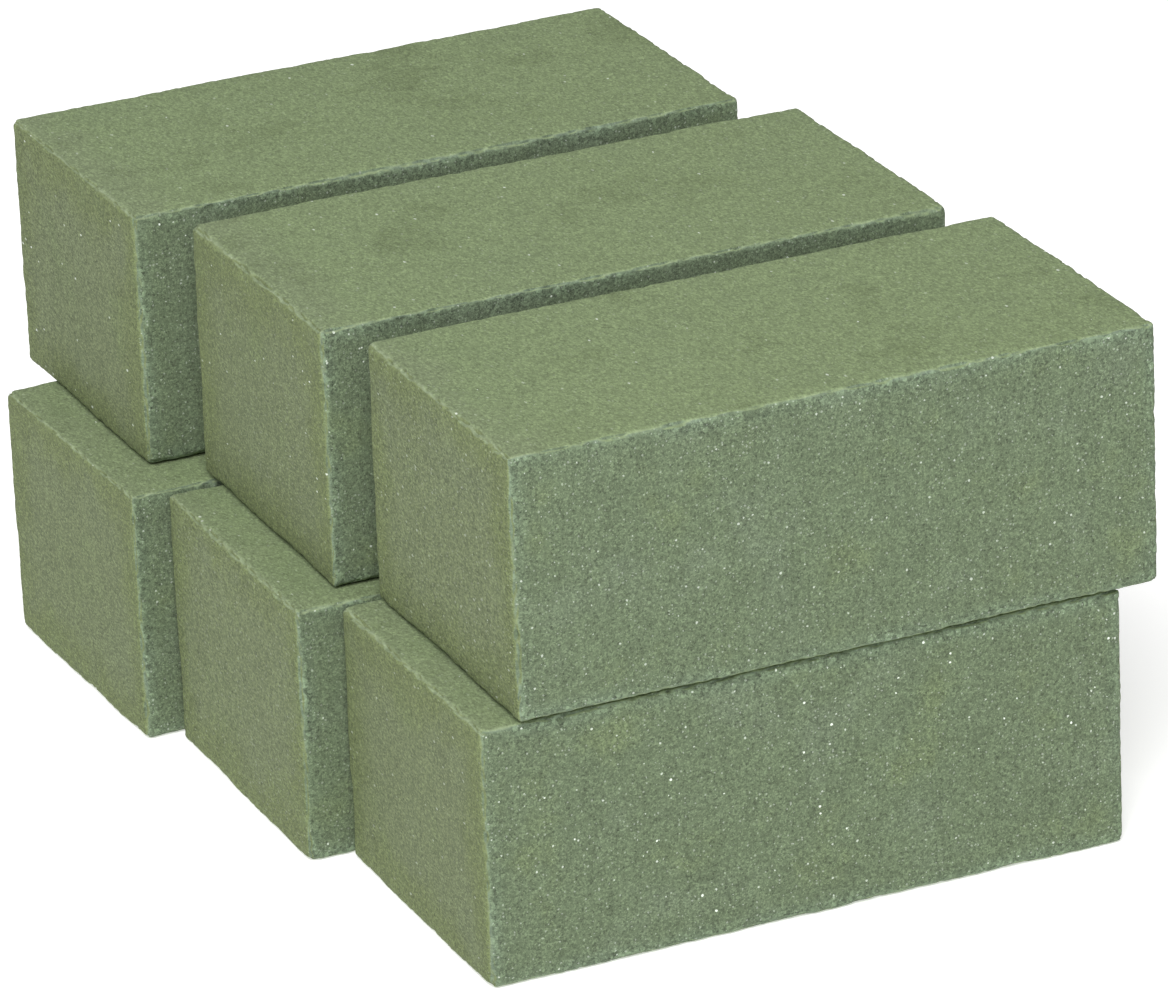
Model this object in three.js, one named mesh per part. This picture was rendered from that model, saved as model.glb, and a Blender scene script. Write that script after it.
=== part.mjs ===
// Six loose floral foam bricks, stacked in two layers of three.
//
// Millimetres. +X runs along the bricks, +Y from the front row to the back row, +Z up.
// The origin is the middle of the stack's footprint, on the surface that it stands on.

import * as THREE from "three";
import { RoundedBoxGeometry } from "three/addons/geometries/RoundedBoxGeometry.js";

// One brick, cut from dry floral foam
const BRICK_LENGTH = 200;
const BRICK_WIDTH = 100;
const BRICK_HEIGHT = 80;

// The saw leaves sharp edges, which crumble to this radius
const EDGE_RADIUS = 2.5;
const EDGE_SEGMENTS = 3;

// Air between a brick and the brick that it rests on
const LAYER_GAP = 0.3;

// Where the top layer's front brick lies from the middle of the brick under it
const TOP_LAYER_SLIP = 11;
const TOP_LAYER_SETBACK = -2.5;

// Each layer from its front row to its back row. The bricks are put down by hand, so none is quite
// in line: slip is how far right its middle lies from the brick in front of it, gap is the air to
// that brick where they are closest, and turn is its angle to the row in degrees.
const BOTTOM_LAYER = [
  { name: "brick_bottom_front", slip: 0, gap: 0, turn: -0.6 },
  { name: "brick_bottom_middle", slip: -12, gap: 1.3, turn: -0.6 },
  { name: "brick_bottom_back", slip: -11, gap: 2.6, turn: 1.1 },
];
const TOP_LAYER = [
  { name: "brick_top_front", slip: 0, gap: 0, turn: -0.6 },
  { name: "brick_top_middle", slip: -7.5, gap: 12, turn: -0.5 },
  { name: "brick_top_back", slip: -12.5, gap: 12.5, turn: 0.1 },
];

const FOAM_COLOR = 0x808e6e;
const FOAM_ROUGHNESS = 0.95;

function foamMaterial() {
  return new THREE.MeshStandardMaterial({
    color: FOAM_COLOR,
    roughness: FOAM_ROUGHNESS,
    metalness: 0,
  });
}

function foamBrick(name) {
  const geometry = new RoundedBoxGeometry(
    BRICK_LENGTH,
    BRICK_WIDTH,
    BRICK_HEIGHT,
    EDGE_SEGMENTS,
    EDGE_RADIUS,
  );
  const brick = new THREE.Mesh(geometry, foamMaterial());
  brick.name = name;
  return brick;
}

// From the middle of a brick to the middle of the one behind it, so that its gap is left where
// the corners of the two turned bricks come closest
function rowPitch(front, back) {
  const frontTurn = THREE.MathUtils.degToRad(front.turn);
  const backTurn = THREE.MathUtils.degToRad(back.turn);
  const halfWidths = (BRICK_WIDTH * (Math.cos(frontTurn) + Math.cos(backTurn))) / 2;
  const cornerSwing = (BRICK_LENGTH / 2) * Math.sin(Math.abs(backTurn - frontTurn));
  const slipRise = back.slip * Math.sin(backTurn);
  return back.gap + halfWidths + cornerSwing + slipRise;
}

// A layer's bricks, from the middle of its front brick backwards
function brickLayer(rows, frontMiddle, underside) {
  const layer = new THREE.Group();
  let { x, y } = frontMiddle;
  rows.forEach((row, index) => {
    if (index > 0) {
      x += row.slip;
      y += rowPitch(rows[index - 1], row);
    }
    const brick = foamBrick(row.name);
    brick.position.set(x, y, underside + BRICK_HEIGHT / 2);
    brick.rotation.z = THREE.MathUtils.degToRad(row.turn);
    layer.add(brick);
  });
  return layer;
}

const bottomFront = { x: 0, y: 0 };
const topFront = { x: TOP_LAYER_SLIP, y: TOP_LAYER_SETBACK };

const stack = new THREE.Group();
stack.add(brickLayer(BOTTOM_LAYER, bottomFront, 0));
stack.add(brickLayer(TOP_LAYER, topFront, BRICK_HEIGHT + LAYER_GAP));

// The footprint's middle goes to the origin
const footprint = new THREE.Box3().setFromObject(stack, true).getCenter(new THREE.Vector3());
stack.position.set(-footprint.x, -footprint.y, 0);

const group = new THREE.Group();
group.add(stack);

export default group;
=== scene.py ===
# Six loose bricks of dry floral foam in two layers, on a pale studio floor. Metres, +Z up.

import math

import bpy
import numpy as np
from mathutils import Matrix, Vector


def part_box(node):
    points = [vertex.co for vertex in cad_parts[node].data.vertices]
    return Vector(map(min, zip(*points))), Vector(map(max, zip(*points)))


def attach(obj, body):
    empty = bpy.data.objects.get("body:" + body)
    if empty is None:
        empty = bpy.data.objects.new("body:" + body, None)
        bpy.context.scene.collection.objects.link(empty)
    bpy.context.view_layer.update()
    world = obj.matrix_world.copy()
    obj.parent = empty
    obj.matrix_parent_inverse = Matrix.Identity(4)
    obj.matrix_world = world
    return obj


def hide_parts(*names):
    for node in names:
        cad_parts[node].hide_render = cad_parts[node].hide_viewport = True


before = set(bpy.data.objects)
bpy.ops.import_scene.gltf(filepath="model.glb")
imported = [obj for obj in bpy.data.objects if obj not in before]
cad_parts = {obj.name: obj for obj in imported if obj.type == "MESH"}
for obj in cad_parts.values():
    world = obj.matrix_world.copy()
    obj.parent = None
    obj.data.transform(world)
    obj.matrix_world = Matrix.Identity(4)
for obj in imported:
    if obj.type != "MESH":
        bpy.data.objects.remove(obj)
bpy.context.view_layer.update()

MM = 0.001
BRICKS = ("bottom_front", "bottom_middle", "bottom_back", "top_front", "top_middle", "top_back")

# The mesh of one brick: fine where the edges crumble, coarser on the flat of a face
EDGE_BAND = 5.0 * MM
EDGE_STEP = 0.55 * MM
FACE_STEP = 1.1 * MM

# Between the faces on the brick's map
MAP_GAP = 2 * MM

# Worn edges: the rounding wanders between these radii along an edge
SHARPEST_EDGE = 1.3 * MM
BLUNTEST_EDGE = 3.0 * MM
WEAR_SIZE = 30 * MM

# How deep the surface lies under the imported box, every layer of it inwards
WARP_DEPTH, WARP_SIZE = 0.28 * MM, 45 * MM
SAW_DEPTH, SAW_SIZE = 0.10 * MM, 7 * MM
GRAIN_DEPTH, GRAIN_SIZE = 0.16 * MM, 2.3 * MM
CRUMB_DEPTH, CRUMB_SIZE = 0.55 * MM, 1.9 * MM
BITE_DEPTH, BITE_SIZE = 0.8 * MM, 8 * MM

# Knocks in the edges. The first one has its place on the front top edge of every brick
NICKS = 9
NICK_DEPTH = 1.0 * MM
NICK_SIZES = (0.9 * MM, 1.9 * MM)
NICK_FLOOR = 0.3
FRONT_NICK_FROM_LEFT = 25 * MM
FRONT_NICK_BELOW_TOP = 1.5 * MM
FRONT_NICK_SIZE = 1.8 * MM

scene = bpy.context.scene


# ---- Smooth random fields ----

class Field:
    """Smooth noise between 0 and 1 at points in space, the same every time for one seed."""

    TABLE = 64
    LAYER_SHIFT = 7.3

    def __init__(self, seed):
        self.values = np.random.default_rng(seed).random((self.TABLE,) * 3)

    def at(self, points, size):
        scaled = points / size
        cell = np.floor(scaled).astype(int)
        part = scaled - cell
        part = part * part * (3 - 2 * part)
        total = np.zeros(len(points))
        for corner in np.ndindex(2, 2, 2):
            corner = np.array(corner)
            weight = np.where(corner == 1, part, 1 - part).prod(axis=1)
            i, j, k = ((cell + corner) % self.TABLE).T
            total += weight * self.values[i, j, k]
        return total

    def layered(self, points, size, layers):
        """Noise with finer noise on top, each layer half as large and half as strong."""
        total = np.zeros(len(points))
        share = 1.0
        for layer in range(layers):
            total += share * self.at(points + self.LAYER_SHIFT * layer * size, size / 2**layer)
            share /= 2
        return total / (2 - 2 * share)


def smooth_step(low, high, value):
    """From 0 at low to 1 at high. Low may be the larger of the two."""
    part = np.clip((value - low) / (high - low), 0, 1)
    return part * part * (3 - 2 * part)


# ---- The mesh of a brick ----

def brick_place(node):
    """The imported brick's middle, its turn about Z and its half sizes, read from its solid."""
    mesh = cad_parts[node].data
    long_side = max((f for f in mesh.polygons if f.normal.y > 0.9), key=lambda f: f.area)
    turn = math.atan2(-long_side.normal.x, long_side.normal.y)
    low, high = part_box(node)
    middle = (Vector(low) + Vector(high)) / 2
    straighten = Matrix.Rotation(-turn, 3, "Z")
    corners = np.array([straighten @ (v.co - middle) for v in mesh.vertices])
    return middle, turn, np.abs(corners).max(axis=0)


def lattice_line(half):
    """Places of the grid lines from -half to half: close together near the two ends."""
    fine = round(EDGE_BAND / EDGE_STEP)
    coarse = round(2 * (half - EDGE_BAND) / FACE_STEP)
    return np.concatenate([
        np.linspace(-half, -half + EDGE_BAND, fine, endpoint=False),
        np.linspace(-half + EDGE_BAND, half - EDGE_BAND, coarse, endpoint=False),
        np.linspace(half - EDGE_BAND, half, fine + 1),
    ])


def box_lattice(lines):
    """The grid on a box's six sides.

    Returns its points as rows of three line numbers, its faces as rows of four points, and the
    axis and side that each face is on.
    """
    last = [len(line) - 1 for line in lines]
    corners, sides = [], []
    for axis in range(3):
        across, up = (axis + 1) % 3, (axis + 2) % 3
        i, j = (n.ravel() for n in np.meshgrid(range(last[across]), range(last[up]), indexing="ij"))
        ring = [(0, 0), (1, 0), (1, 1), (0, 1)]
        for side in (0, 1):
            face = np.zeros((len(i), 4, 3), int)
            for corner, (step_i, step_j) in enumerate(ring if side else ring[::-1]):
                face[:, corner, axis] = last[axis] * side
                face[:, corner, across] = i + step_i
                face[:, corner, up] = j + step_j
            corners.append(face)
            sides += [(axis, side)] * len(face)
    corners = np.concatenate(corners)

    # Neighbouring sides share the points on their edge: one key for each point
    most = 1000
    keys = corners @ np.array([1, most, most**2])
    _, first, faces = np.unique(keys, return_index=True, return_inverse=True)
    return corners.reshape(-1, 3)[first], faces.reshape(-1, 4), np.array(sides)


def crumbled(points, half, seed):
    """Points of a plain box moved on to a foam brick's surface: worn edges, nicks and grain.

    Also returns what the material needs to know of each point: whether it is on an edge, how many
    millimetres it is from one, and how much has broken out there.
    """
    wear, saw, grain, crumb, bite = (Field(seed * 10 + n) for n in range(5))
    worn = wear.layered(points, WEAR_SIZE, 3)
    radius = SHARPEST_EDGE + (BLUNTEST_EDGE - SHARPEST_EDGE) * smooth_step(0.3, 0.8, worn)
    core = np.clip(points, -(half - radius[:, None]), half - radius[:, None])
    outwards = points - core
    outwards /= np.linalg.norm(outwards, axis=1)[:, None]
    on_edge = smooth_step(0.98, 0.80, np.abs(outwards).max(axis=1))

    # The nearest face is the one that a point is on, and the next nearest is across its edge
    inset = np.sort(half - np.abs(points), axis=1)[:, 1]
    near_edge = smooth_step(EDGE_BAND, 0, inset)

    crumbs = smooth_step(0.42, 0.72, crumb.layered(points, CRUMB_SIZE, 2))
    crumbs *= on_edge + 0.35 * near_edge
    bites = smooth_step(0.68, 0.92, bite.layered(points, BITE_SIZE, 3)) * on_edge
    knocks = nicks(points, half, on_edge, seed)

    depth = WARP_DEPTH * wear.layered(points + 1, WARP_SIZE, 2)
    depth += SAW_DEPTH * saw.layered(points, SAW_SIZE, 2)
    depth += GRAIN_DEPTH * grain.layered(points, GRAIN_SIZE, 2) * (0.6 + 0.9 * near_edge)
    depth += CRUMB_DEPTH * crumbs + BITE_DEPTH * bites + NICK_DEPTH * knocks
    surface = core + outwards * (radius - depth)[:, None]

    hollow = np.clip(crumbs + bites + 2.5 * knocks, 0, 3)
    return surface, {"edge": on_edge, "inset": inset / MM, "hollow": hollow}


def nicks(points, half, on_edge, seed):
    """Small knocks in the edges, 1 at their deepest and 0 where there are none."""
    rng = np.random.default_rng(seed)
    places = rng.choice(points[on_edge > 0.5], NICKS)
    sizes = rng.uniform(*NICK_SIZES, NICKS)
    places[0] = (FRONT_NICK_FROM_LEFT - half[0], -half[1], half[2] - FRONT_NICK_BELOW_TOP)
    sizes[0] = FRONT_NICK_SIZE
    total = np.zeros(len(points))
    for place, size in zip(places, sizes):
        away = np.linalg.norm(points - place, axis=1)
        total = np.maximum(total, smooth_step(size, NICK_FLOOR * size, away))
    return total


def unwrap(mesh, points, faces, sides, half):
    """A map of the six faces laid side by side: long faces in one column, ends in the other."""
    long, wide, high = 2 * half
    gap = MAP_GAP
    columns = {
        (2, 0): (0, 0), (2, 1): (0, wide + gap),
        (1, 0): (0, 2 * (wide + gap)), (1, 1): (0, 2 * (wide + gap) + high + gap),
        (0, 0): (long + gap, 0), (0, 1): (long + gap, wide + gap),
    }
    size = np.array([long + gap + high, 2 * (wide + gap) + 2 * high + gap])
    at = np.zeros((len(faces), 4, 2))
    for (axis, side), corner in columns.items():
        mine = (sides == (axis, side)).all(axis=1)
        across, up = {0: (2, 1), 1: (0, 2), 2: (0, 1)}[axis]
        flat = (points + half)[faces[mine]]
        at[mine] = flat[:, :, (across, up)] + corner
    layer = mesh.uv_layers.new(name="OFBake")
    layer.uv.foreach_set("vector", (at / size).astype(np.float32).ravel())


def foam_brick(name, seed):
    """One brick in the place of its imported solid, with crumbs, cells and glints of its own."""
    node = "brick_" + name
    middle, turn, half = brick_place(node)
    lines = [lattice_line(h) for h in half]
    grid, faces, sides = box_lattice(lines)
    points = np.stack([line[grid[:, axis]] for axis, line in enumerate(lines)], axis=1)
    surface, wear = crumbled(points, half, seed)

    mesh = bpy.data.meshes.new("foam_" + name)
    mesh.from_pydata(surface, [], faces)
    mesh.polygons.foreach_set("use_smooth", np.ones(len(faces), bool))
    for label, values in wear.items():
        mesh.attributes.new(label, "FLOAT", "POINT").data.foreach_set("value", values)
    unwrap(mesh, points, faces, sides, half)
    mesh.materials.append(foam_material(name, seed))
    mesh.update()

    brick = bpy.data.objects.new("foam_" + name, mesh)
    scene.collection.objects.link(brick)
    brick.location = middle
    brick.rotation_euler.z = turn
    bpy.context.view_layer.update()
    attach(brick, name)
    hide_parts(node)


# ---- The foam's material ----

# Its colour before the grain, by face: partly the foam's own tone on each face and partly painted
# light, the top painted lighter and the long faces darker for the light that falls on them
TOP_COLOUR = (0.184, 0.240, 0.117, 1.0)
SIDE_COLOUR = (0.103, 0.139, 0.078, 1.0)
END_COLOUR = (0.128, 0.158, 0.077, 1.0)

# Soft patches, where the resin cured unevenly, and how much of the colour they take
PATCH_SIZE = 30 * MM
COOL_PATCH, COOL_AMOUNT = (0.117, 0.152, 0.096, 1.0), 0.7
COOL_OFF_SIDES = 0.15
WARM_PATCH, WARM_AMOUNT = (0.126, 0.165, 0.073, 1.0), 0.5

# A band across the left end of the top: where it begins and where it is full, along the brick
TOP_BAND = (-80 * MM, -98 * MM)
TOP_BAND_WANDER = 12 * MM
GREY_BAND, BAND_AMOUNT = (0.184, 0.226, 0.126, 1.0), 0.6

# What follows the edges, as distances from the edge in the inset attribute's millimetres, first
# where it begins and then where it is full: an olive margin on the ends, a coarser and cooler rim
# on the long faces, and a pale band under the edges, partly dust and partly painted highlight
END_MARGIN = (20.0, 4.0)
END_MARGIN_WANDER = 9.0
OLIVE_MARGIN = (0.121, 0.152, 0.060, 1.0)
RIM = (7.0, 1.0)
RIM_PATCH_SIZE = 22 * MM
RIM_COLOUR, RIM_AMOUNT = (0.110, 0.153, 0.100, 1.0), 0.6
DUST_AND_HIGHLIGHT_UNDER = (3.6, 0.8)
DUST_AND_HIGHLIGHT_UNDER_END, DUST_AND_HIGHLIGHT_UNDER_SIDE = 0.06, 0.16

# Pale dust of crushed cells and a painted highlight on the upright and the level edges themselves
DUST_AND_HIGHLIGHT_SIZE = 2.5 * MM
DUST_AND_HIGHLIGHT_TINT = (1.1, 1.0, 1.5)
DUST_AND_HIGHLIGHT_ON_SIDES, DUST_AND_HIGHLIGHT_ON_LEVEL = 0.32, 0.44

# Cells: their size, and how much each sort of grain darkens or lightens them. The power leaves
# few cells light and many dark
CELL = 0.70 * MM
CELL_STRETCH = 0.55
CELL_NUDGE = 0.7 * CELL
FEW_LIGHT = 2.5
SMALL_CELLS, SMALL_CELL_GRAIN = 0.65 * CELL, (-0.22, 0.58)
CELL_GRAIN = (-0.20, 0.20)
RIM_CELLS, RIM_CELL_GRAIN = 1.6 * CELL, (-0.28, 0.75)
FINE_SIZE, FINE_GRAIN = 1.2 * CELL, (-0.20, 0.20)
STREAK_SIZE, STREAK_GRAIN = 1.7 * MM, (-0.10, 0.10)
GRAIN_ON_ENDS, GRAIN_ON_TOP, GRAIN_ON_EDGES = 0.82, 0.65, 0.6
WALL_COLOUR, WALL_AMOUNT = (0.270, 0.320, 0.200, 1.0), 0.20

# Larger cells torn open by the saw: the share of places that has one, and the largest one's
# radius as a share of their spacing
TORN_SPACING = 7.0 * MM
TORN_SHARE = 0.10
TORN_LARGEST = 0.085
TORN_ON_SIDES, TORN_ELSEWHERE = 0.55, 0.15
# Painted shade: the dark colour of the torn cells, and how much of it darkens the hollows where the
# edges broke out
PIT_SHADE_COLOUR = (0.070, 0.095, 0.050, 1.0)
HOLLOW_SHADE_AMOUNT = 0.15

# Painted glints, pale flecks in the colour with a lower roughness as well: their spacing, the share of
# places that has one, the largest one's radius, and how strong they are on the long faces and elsewhere
GLINTS = (
    (1.05 * MM, 0.45, 0.32 * MM, 0.26, 0.12),
    (2.60 * MM, 0.40, 0.37 * MM, 0.62, 0.30),
    (4.20 * MM, 0.50, 0.41 * MM, 1.00, 0.75),
)
GLINT_COLOUR = (0.800, 0.870, 0.760, 1.0)

FOAM_ROUGHNESS, GLINT_ROUGHNESS = 0.92, 0.25
RESIN_IOR = 1.45
BUMP_HEIGHT = 0.04 * MM
PIT_DEPTH = 3.0

# Each brick is cut from another place in the same foam
SEED_SHIFT = (0.37, 0.11, 0.23)


class Nodes:
    """Shorthand for building a node tree: every helper adds one node and returns its output."""

    def __init__(self, material):
        material.use_nodes = True
        self.tree = material.node_tree
        self.tree.nodes.clear()

    def add(self, kind, inputs=(), **settings):
        node = self.tree.nodes.new("ShaderNode" + kind)
        for key, value in settings.items():
            setattr(node, key, value)
        for key, value in dict(inputs).items():
            if isinstance(value, bpy.types.NodeSocket):
                self.tree.links.new(value, node.inputs[key])
            else:
                node.inputs[key].default_value = value
        return node

    def math(self, operation, a, b=0.0):
        return self.add("Math", {0: a, 1: b}, operation=operation).outputs[0]

    def product(self, first, *others):
        for other in others:
            first = self.math("MULTIPLY", first, other)
        return first

    def scale(self, value, low, high, out_low=0.0, out_high=1.0, curve="LINEAR"):
        inputs = {0: value, 1: low, 2: high, 3: out_low, 4: out_high}
        return self.add("MapRange", inputs, interpolation_type=curve).outputs[0]

    def step(self, value, low, high, out_low=0.0, out_high=1.0):
        return self.scale(value, low, high, out_low, out_high, "SMOOTHSTEP")

    def mix(self, amount, a, b, blend="MIX"):
        node = self.add("Mix", {0: amount, 6: a, 7: b}, data_type="RGBA", blend_type=blend)
        return node.outputs[2]

    def noise(self, vector, size, detail=2.0, roughness=0.5):
        inputs = {"Vector": vector, "Scale": 1 / size, "Detail": detail, "Roughness": roughness}
        return self.add("TexNoise", inputs).outputs["Fac"]

    def cells(self, vector, size, feature="F1"):
        return self.add("TexVoronoi", {"Vector": vector, "Scale": 1 / size}, feature=feature)

    def parts(self, colour):
        return self.add("SeparateColor", {0: colour}).outputs

    def stretch(self, vector, y=1.0, z=1.0):
        return self.add("Mapping", {"Vector": vector, "Scale": (1.0, y, z)}).outputs[0]


class Faces:
    """Where a point lies on its brick: its own coordinates, the kind of face and how near an edge."""

    def __init__(self, n, seed):
        coordinates = n.add("TexCoord").outputs
        shift = tuple(seed * part for part in SEED_SHIFT)
        self.place = n.add("VectorMath", {0: coordinates["Object"], 1: shift}).outputs[0]
        self.along = n.add("SeparateXYZ", {0: coordinates["Object"]}).outputs["X"]
        normal = n.add("SeparateXYZ", {0: coordinates["Normal"]}).outputs
        facing = [n.math("ABSOLUTE", axis) for axis in normal]
        self.end, self.side, self.top = (n.step(amount, 0.5, 0.85) for amount in facing)
        self.level = n.step(facing[2], 0.15, 0.5)
        self.edge, self.inset, self.hollow = (
            n.add("Attribute", attribute_name=label).outputs["Fac"]
            for label in ("edge", "inset", "hollow")
        )
        uneven = n.step(n.noise(self.place, RIM_PATCH_SIZE), 0.35, 0.6, 0.35, 1.0)
        self.rim = n.product(n.step(self.inset, *RIM), uneven, self.side)


def broad_tint(n, face):
    """The foam's colour before its grain."""
    patches = n.noise(face.place, PATCH_SIZE, 4.0, 0.6)
    # By face, partly painted light: the top lighter and the long faces darker
    colour = n.mix(face.end, SIDE_COLOUR, END_COLOUR)
    colour = n.mix(face.top, colour, TOP_COLOUR)

    wander = n.scale(patches, 0.3, 0.7, -END_MARGIN_WANDER, END_MARGIN_WANDER)
    margin = n.step(n.math("ADD", face.inset, wander), *END_MARGIN)
    colour = n.mix(n.product(margin, face.end), colour, OLIVE_MARGIN)

    wander = n.scale(patches, 0.3, 0.7, -TOP_BAND_WANDER, TOP_BAND_WANDER)
    band = n.step(n.math("ADD", face.along, wander), *TOP_BAND)
    colour = n.mix(n.product(band, face.top, BAND_AMOUNT), colour, GREY_BAND)

    cool = n.step(patches, 0.50, 0.70, 0.0, COOL_AMOUNT)
    cool = n.product(cool, n.scale(face.side, 0.0, 1.0, COOL_OFF_SIDES, 1.0))
    colour = n.mix(cool, colour, COOL_PATCH)
    colour = n.mix(n.step(patches, 0.46, 0.30, 0.0, WARM_AMOUNT), colour, WARM_PATCH)
    return n.mix(n.product(face.rim, RIM_AMOUNT), colour, RIM_COLOUR)


def cell_space(n, face):
    """Coordinates for the cells: nudged so that no cell is round, and drawn out across the brick."""
    nudge = n.add("TexNoise", {"Vector": face.place, "Scale": 1 / CELL, "Detail": 1.0}).outputs["Color"]
    nudge = n.add("VectorMath", {0: nudge, 1: (CELL_NUDGE,) * 3}, operation="MULTIPLY").outputs[0]
    return n.add("VectorMath", {0: n.stretch(face.place, y=CELL_STRETCH), 1: nudge}).outputs[0]


def cell_grain(n, face, place):
    """How much lighter or darker each cell of the foam is than its surroundings, about 1."""
    small, cell, coarse = (
        n.parts(n.cells(place, size).outputs["Color"]) for size in (SMALL_CELLS, CELL, RIM_CELLS)
    )
    fine = n.noise(n.stretch(place, z=0.6), FINE_SIZE, 3.0, 0.7)
    streaks = n.noise(n.stretch(place, z=0.14), STREAK_SIZE, 3.0, 0.6)
    rim = n.scale(n.math("POWER", coarse[1], FEW_LIGHT), 0.0, 1.0, *RIM_CELL_GRAIN)
    total = n.product(rim, face.rim)
    for grain in (
        n.scale(n.math("POWER", small[0], FEW_LIGHT), 0.0, 1.0, *SMALL_CELL_GRAIN),
        n.scale(cell[0], 0.0, 1.0, *CELL_GRAIN),
        n.scale(fine, 0.3, 0.7, *FINE_GRAIN),
        n.scale(streaks, 0.3, 0.7, *STREAK_GRAIN),
    ):
        total = n.math("ADD", total, grain)

    # Full on the long faces, fainter on the ends, the top and the edges
    strength = n.scale(face.top, 0.0, 1.0, GRAIN_ON_ENDS, GRAIN_ON_TOP)
    strength = n.math("MAXIMUM", face.side, strength)
    strength = n.product(strength, n.scale(face.edge, 0.0, 1.0, 1.0, GRAIN_ON_EDGES))
    return n.math("ADD", 1.0, n.product(total, strength))


def edge_shade(n, face, grain):
    """The grain as a grey, made paler along the edges by dust of crushed cells and a painted highlight,
    and in a band under them.
    """
    dust_and_highlight = n.step(n.noise(face.place, DUST_AND_HIGHLIGHT_SIZE, 3.0, 0.6), 0.30, 0.62, 0.3, 1.0)
    strength = n.scale(face.level, 0.0, 1.0, DUST_AND_HIGHLIGHT_ON_SIDES, DUST_AND_HIGHLIGHT_ON_LEVEL)
    # Partly dust of crushed cells, partly a painted highlight along each edge
    dust_and_highlight = n.product(dust_and_highlight, strength, face.edge)

    # A paler band just under the edges of the long faces and ends: partly dust, partly painted
    # highlight
    under = n.scale(face.side, 0.0, 1.0, DUST_AND_HIGHLIGHT_UNDER_END, DUST_AND_HIGHLIGHT_UNDER_SIDE)
    under = n.product(under, n.math("SUBTRACT", 1.0, face.top), n.step(face.inset, *DUST_AND_HIGHLIGHT_UNDER))
    base = n.math("ADD", grain, under)
    shades = [n.math("ADD", base, n.product(dust_and_highlight, tint)) for tint in DUST_AND_HIGHLIGHT_TINT]
    return n.add("CombineColor", dict(enumerate(shades))).outputs[0]


def painted_glints(n, face, place):
    """Painted glints: pale flecks where cell walls would face the light, many faint sparks and a few
    bright ones.
    """
    total = 0.0
    for spacing, share, radius, on_side, elsewhere in GLINTS:
        spark = n.cells(place, spacing)
        pick = n.parts(spark.outputs["Color"])
        reach = n.step(pick[0], 1 - share, 1.0, 0.0, radius / spacing)
        inside = n.math("LESS_THAN", spark.outputs["Distance"], reach)
        light = n.scale(face.side, 0.0, 1.0, elsewhere, on_side)
        light = n.product(light, n.scale(pick[1], 0.0, 1.0, 0.35, 1.0))
        total = n.math("MAXIMUM", total, n.product(inside, light))
    return total


def torn_cells(n, face, place):
    """Larger cells torn open by the saw, few and ragged, and fewest off the long faces."""
    torn = n.cells(n.stretch(place, z=0.55), TORN_SPACING)
    pick = n.parts(torn.outputs["Color"])[1]
    reach = n.step(pick, 1 - TORN_SHARE, 1.0, 0.0, TORN_LARGEST)
    inside = n.math("LESS_THAN", torn.outputs["Distance"], reach)
    return n.product(inside, n.scale(face.side, 0.0, 1.0, TORN_ELSEWHERE, TORN_ON_SIDES))


def foam_material(name, seed):
    material = bpy.data.materials.new("foam_" + name)
    n = Nodes(material)
    face = Faces(n, seed)
    place = cell_space(n, face)
    walls = n.cells(place, CELL, "DISTANCE_TO_EDGE").outputs["Distance"]
    grain = cell_grain(n, face, place)
    pits = torn_cells(n, face, place)
    glints = painted_glints(n, face, place)

    # From the broad colour to the finest detail. The hollows where the edges broke out and the torn
    # cells are painted darker: painted shade
    colour = n.mix(1.0, broad_tint(n, face), edge_shade(n, face, grain), "MULTIPLY")
    colour = n.mix(n.step(walls, 0.14, 0.0, 0.0, WALL_AMOUNT), colour, WALL_COLOUR)
    # Painted shade in the hollows where the edges broke out
    colour = n.mix(n.product(face.hollow, HOLLOW_SHADE_AMOUNT), colour, PIT_SHADE_COLOUR)
    # Painted shade in the torn-open cells
    colour = n.mix(pits, colour, PIT_SHADE_COLOUR)
    # Painted glints: pale flecks in the colour stand in for cell walls catching the light
    colour = n.mix(glints, colour, GLINT_COLOUR)

    # Height of the surface: cell walls stand up round open cells
    height = n.step(walls, 0.0, 0.30, 1.0, 0.0)
    height = n.math("ADD", height, grain)
    height = n.math("SUBTRACT", height, n.product(pits, PIT_DEPTH))
    bump = n.add("Bump", {"Strength": 1.0, "Distance": BUMP_HEIGHT, "Height": height}).outputs[0]

    shader = n.add("BsdfPrincipled", {
        "Base Color": colour,
        "Roughness": n.step(glints, 0.1, 0.7, FOAM_ROUGHNESS, GLINT_ROUGHNESS),
        "Normal": bump,
        "IOR": RESIN_IOR,
    })
    n.add("OutputMaterial", {"Surface": shader.outputs[0]})
    return material


for number, body in enumerate(BRICKS):
    foam_brick(body, number + 1)


# ---- Studio ----

WHITE = (1.0, 1.0, 1.0, 1.0)
FLOOR_RADIUS, FLOOR_SIDES = 6.0, 64
FLOOR_COLOUR = (0.9, 0.9, 0.9, 1.0)
FLOOR_ROUGHNESS = 0.8
FLOOR_GLOW = 0.40
ROOM_LIGHT = 0.40
KEY_PLACE = Vector((-1.55, -2.35, 2.95))
KEY_SIZE = 2.3
KEY_WATTS = 175

# A long lens, as every brick in the picture is as large as the next
FOCAL_PIXELS = 7500
PHOTO_WIDTH = 1168
SENSOR_WIDTH = 36.0
VIEW_AZIMUTH, VIEW_ELEVATION, VIEW_ROLL = -24.07, 22.93, -2.4
VIEW_DISTANCE = 2.261
AIM = Vector((0.0195, 0.0186, 0.0589))


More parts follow.
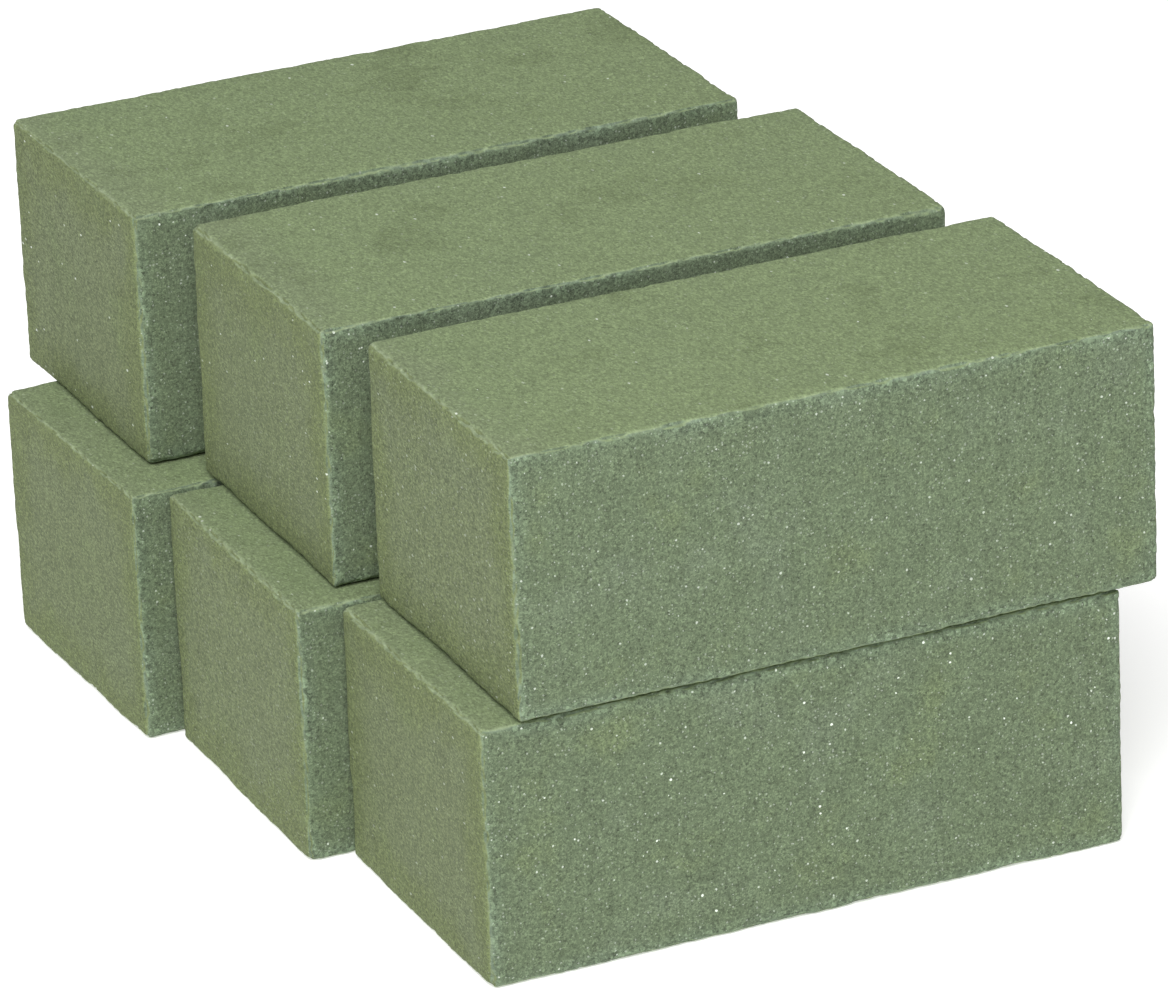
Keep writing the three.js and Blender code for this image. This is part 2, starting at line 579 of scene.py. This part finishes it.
def pale_floor():
    """A round floor with a little light of its own, so that it comes out as white as the picture's."""
    angles = np.linspace(0, math.tau, FLOOR_SIDES, endpoint=False)
    edge = [(FLOOR_RADIUS * math.cos(a), FLOOR_RADIUS * math.sin(a), 0) for a in angles]
    mesh = bpy.data.meshes.new("floor")
    mesh.from_pydata(edge, [], [range(len(edge))])
    material = bpy.data.materials.new("floor")
    n = Nodes(material)
    shader = n.add("BsdfPrincipled", {
        "Base Color": FLOOR_COLOUR,
        "Roughness": FLOOR_ROUGHNESS,
        "Emission Color": WHITE,
        "Emission Strength": FLOOR_GLOW,
    })
    n.add("OutputMaterial", {"Surface": shader.outputs[0]})
    mesh.materials.append(material)
    floor = bpy.data.objects.new("floor", mesh)
    scene.collection.objects.link(floor)


def studio_light():
    """Even light from all round, and one large lamp high up at the front left."""
    world = bpy.data.worlds.new("studio")
    world.use_nodes = True
    background = world.node_tree.nodes["Background"]
    background.inputs["Color"].default_value = WHITE
    background.inputs["Strength"].default_value = ROOM_LIGHT
    scene.world = world

    light = bpy.data.lights.new("key", "AREA")
    light.size = KEY_SIZE
    light.energy = KEY_WATTS
    lamp = bpy.data.objects.new("key", light)
    lamp.location = KEY_PLACE
    lamp.rotation_euler = (-KEY_PLACE).to_track_quat("-Z", "Y").to_euler()
    scene.collection.objects.link(lamp)


def photo_camera():
    """The camera, from where the picture was taken."""
    azimuth, elevation, roll = (math.radians(a) for a in (VIEW_AZIMUTH, VIEW_ELEVATION, VIEW_ROLL))
    back = Vector((
        math.sin(azimuth) * math.cos(elevation),
        -math.cos(azimuth) * math.cos(elevation),
        math.sin(elevation),
    ))
    right = Vector((0, 0, 1)).cross(back).normalized()
    up = back.cross(right)
    turned_right = right * math.cos(roll) + up * math.sin(roll)
    turned_up = up * math.cos(roll) - right * math.sin(roll)
    data = bpy.data.cameras.new("camera")
    data.sensor_width = SENSOR_WIDTH
    data.lens = FOCAL_PIXELS * SENSOR_WIDTH / PHOTO_WIDTH
    camera = bpy.data.objects.new("camera", data)
    axes = Matrix((turned_right, turned_up, back)).transposed()
    camera.matrix_world = Matrix.Translation(AIM + back * VIEW_DISTANCE) @ axes.to_4x4()
    scene.collection.objects.link(camera)
    scene.camera = camera


pale_floor()
studio_light()
photo_camera()
scene.view_settings.view_transform = "Standard"
